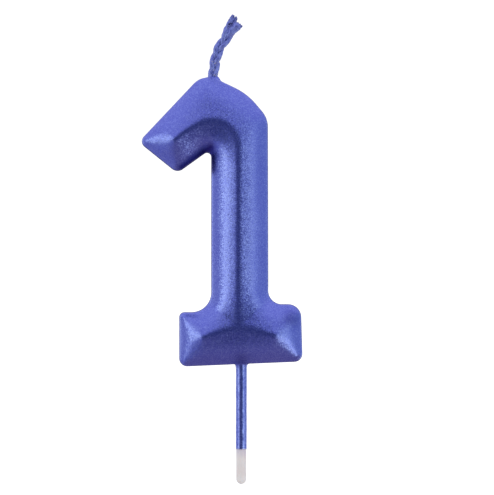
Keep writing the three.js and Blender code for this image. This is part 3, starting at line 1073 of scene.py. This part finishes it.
def pale_surround():
    """A white surround for the view. What the candle reflects is a tent, dark at front, back and below."""
    world = bpy.data.worlds.new("surround")
    bpy.context.scene.world = world
    world.use_nodes = True
    world.node_tree.nodes.clear()
    sky = Nodes(world.node_tree)

    def faded(value, low, high):
        return sky.mapped(value, low, high, interpolation_type="SMOOTHSTEP")

    way = sky.add("ShaderNodeTexCoord").outputs["Generated"]
    split = sky.add("ShaderNodeSeparateXYZ")
    sky.link(way, split.inputs[0])
    frontal = sky.number("MULTIPLY_ADD", split.outputs["Z"], FRONT_LEAN,
                         sky.number("ABSOLUTE", split.outputs["Y"]))
    below = sky.add("ShaderNodeVectorMath", operation="DOT_PRODUCT")
    sky.link(way, below.inputs[0])
    below.inputs[1].default_value = TENT_BELOW_WAY
    ray = sky.add("ShaderNodeLightPath")
    tent = sky.mixed(faded(split.outputs["X"], -0.5, 0.6), TENT_LEFT, TENT_RIGHT)
    tent = sky.mixed(faded(split.outputs["Z"], 0.1, 0.8), tent, TENT_TOP)
    tent = sky.mixed(faded(frontal, 0.725, 0.935), tent, TENT_FRONT)
    tent = sky.mixed(faded(below.outputs["Value"], -0.30, -0.86), tent, TENT_BELOW)
    tent = sky.mixed(ray.outputs["Is Diffuse Ray"], tent, TENT_MATT)
    reflected = sky.add("ShaderNodeBackground")
    sky.link(tent, reflected.inputs["Color"])
    shown = sky.add("ShaderNodeBackground")
    shown.inputs["Color"].default_value = WHITE
    shown.inputs["Strength"].default_value = WHITE_STRENGTH
    mix = sky.add("ShaderNodeMixShader")
    sky.link(ray.outputs["Is Camera Ray"], mix.inputs["Fac"])
    sky.link(reflected.outputs[0], mix.inputs[1])
    sky.link(shown.outputs[0], mix.inputs[2])
    sky.link(mix.outputs[0], sky.add("ShaderNodeOutputWorld").inputs["Surface"])


def pale_floor():
    """A plain white floor at the pick's tip."""
    bm = bmesh.new()
    bmesh.ops.create_circle(bm, cap_ends=True, segments=96, radius=3.0)
    mesh = bpy.data.meshes.new("floor")
    bm.to_mesh(mesh)
    bm.free()
    floor = new_object("floor", mesh, smooth=False)
    floor.location.z = PICK_LOW.z - 0.05 * MM
    paint = Finish("white_floor")
    paint.set(Base_Color=(0.35, 0.35, 0.35), Roughness=0.9, Specular_IOR_Level=0.0,
              Emission_Color=WHITE, Emission_Strength=WHITE_STRENGTH)
    mesh.materials.append(paint.material)
    floor.visible_glossy = False
    floor.visible_diffuse = False
    floor.visible_shadow = False


class CANDLE_OT_camera(bpy.types.Operator):
    """Add the camera, level with the middle of the candle"""

    bl_idname = "candle.camera"
    bl_label = "Camera"

    def execute(self, context):
        stage = context.scene.candle_stage
        data = bpy.data.cameras.new("camera")
        data.lens = stage.lens
        data.sensor_width = 36.0
        camera = bpy.data.objects.new("camera", data)
        context.scene.collection.objects.link(camera)
        distance = stage.view_height * stage.lens / data.sensor_width
        camera.location = (stage.view_x, -distance, stage.view_z)
        camera.rotation_euler = (math.pi / 2, 0, 0)
        data.clip_start, data.clip_end = 0.01, 20
        context.scene.camera = camera
        return {"FINISHED"}


class CANDLE_OT_stage(bpy.types.Operator):
    """Add the white floor, the surround and the softboxes"""

    bl_idname = "candle.stage"
    bl_label = "Floor and lights"

    def execute(self, context):
        stage = context.scene.candle_stage
        context.scene.view_settings.view_transform = "Standard"
        middle = (CAD_BOX[0] + CAD_BOX[1]) / 2
        pale_surround()
        pale_floor()
        for face, side, share in (("front", -1, 1.0), ("back", 1, BACK_SHARE)):
            for name, (x, y, z), size, colour in SOFTBOXES:
                place = middle + Vector((x, side * y, z))
                power = share * getattr(stage, f"{name}_light")
                softbox(f"{face}_{name}_softbox", place, middle, size, power, colour)
        return {"FINISHED"}


class CANDLE_PT_panel(bpy.types.Panel):
    """Lists the candle's sizes, finishes and build steps"""

    bl_idname = "CANDLE_PT_panel"
    bl_label = "Number Candle"
    bl_space_type = "VIEW_3D"
    bl_region_type = "UI"
    bl_category = "Candle"

    def draw(self, context):
        for group_name, _ in SETTINGS:
            group = getattr(context.scene, group_name)
            box = self.layout.box()
            box.label(text=type(group).__name__.replace("Settings", ""))
            for prop in group.bl_rna.properties:
                if prop.identifier not in {"rna_type", "name"}:
                    box.prop(group, prop.identifier)
        for step in STEPS:
            self.layout.operator(step.bl_idname)


SETTINGS = (
    ("candle_digit", DigitSettings),
    ("candle_wick", WickSettings),
    ("candle_pick", PickSettings),
    ("candle_finish", FinishSettings),
    ("candle_stage", StageSettings),
)
STEPS = (CANDLE_OT_camera, CANDLE_OT_coat, CANDLE_OT_wick, CANDLE_OT_pick, CANDLE_OT_wax, CANDLE_OT_stage)


def register():
    for name, group in SETTINGS:
        bpy.utils.register_class(group)
        setattr(bpy.types.Scene, name, PointerProperty(type=group))
    for cls in (*STEPS, CANDLE_PT_panel):
        bpy.utils.register_class(cls)


def unregister():
    for cls in reversed((*STEPS, CANDLE_PT_panel)):
        bpy.utils.unregister_class(cls)
    for name, group in reversed(SETTINGS):
        delattr(bpy.types.Scene, name)
        bpy.utils.unregister_class(group)


def main():
    register()
    bpy.ops.candle.camera()
    bpy.ops.candle.coat()
    bpy.ops.candle.wick()
    bpy.ops.candle.pick()
    bpy.ops.candle.wax()
    bpy.ops.candle.stage()


if __name__ == "__main__":
    main()
